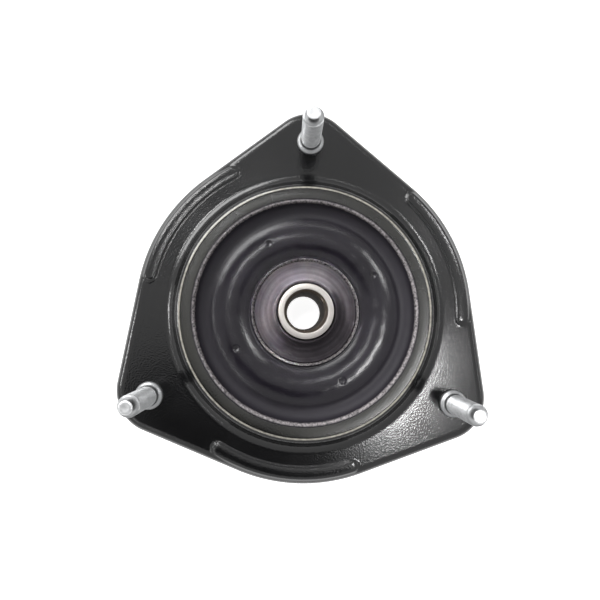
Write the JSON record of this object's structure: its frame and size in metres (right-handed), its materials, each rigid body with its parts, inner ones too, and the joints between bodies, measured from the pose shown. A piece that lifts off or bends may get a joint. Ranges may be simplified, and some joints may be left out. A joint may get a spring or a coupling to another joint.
{
  "type": "strut mount",
  "caption": "Strut top mount: pressed steel plate with threaded studs, a rubber cushion and a sealed bearing whose sleeve holds the strut rod and turns with the steering.",
  "frame": {"origin": "on the strut axis, at the flat upper face of the top plate", "axes": "+Z along the strut axis towards the stud tips, +Y towards one stud"},
  "size_m": [0.151, 0.1541, 0.0516],
  "materials": {
    "gloss_black_paint": "gloss black coating with fine orange peel",
    "zinc_plated_steel": "pale zinc plating",
    "black_rubber": "moulded black rubber, half gloss",
    "dark_primer": "dark grey primer, satin",
    "spring_steel": "plain spring steel",
    "bearing_steel": "ground bearing steel",
    "machined_steel": "bright turned steel",
    "seal_rubber": "moulded seal rubber"
  },
  "bodies": {
    "mount": {"top_plate": "gloss_black_paint", "mounting_studs": "zinc_plated_steel", "lower_plate": "gloss_black_paint", "rubber_insulator": "black_rubber", "bearing_housing": "dark_primer", "retaining_ring": "spring_steel", "outer_race": "bearing_steel", "upper_seal": "seal_rubber", "lower_seal": "seal_rubber"},
    "strut_sleeve": {"inner_race": "machined_steel"},
    "ball_set": {"bearing_balls": "bearing_steel", "ball_cage": "spring_steel"}
  },
  "joints": [
    {"name": "strut_swivel", "type": "hinge", "parent": "mount", "child": "strut_sleeve", "pos_m": [0, 0, 0], "axis": [0, 0, 1], "continuous": true},
    {"name": "ball_orbit", "type": "hinge", "parent": "mount", "child": "ball_set", "pos_m": [0, 0, 0], "axis": [0, 0, 1], "continuous": true}
  ],
  "couplings": [
    {"joint": "ball_orbit", "follows": "strut_swivel", "ratio": 0.381}
  ]
}
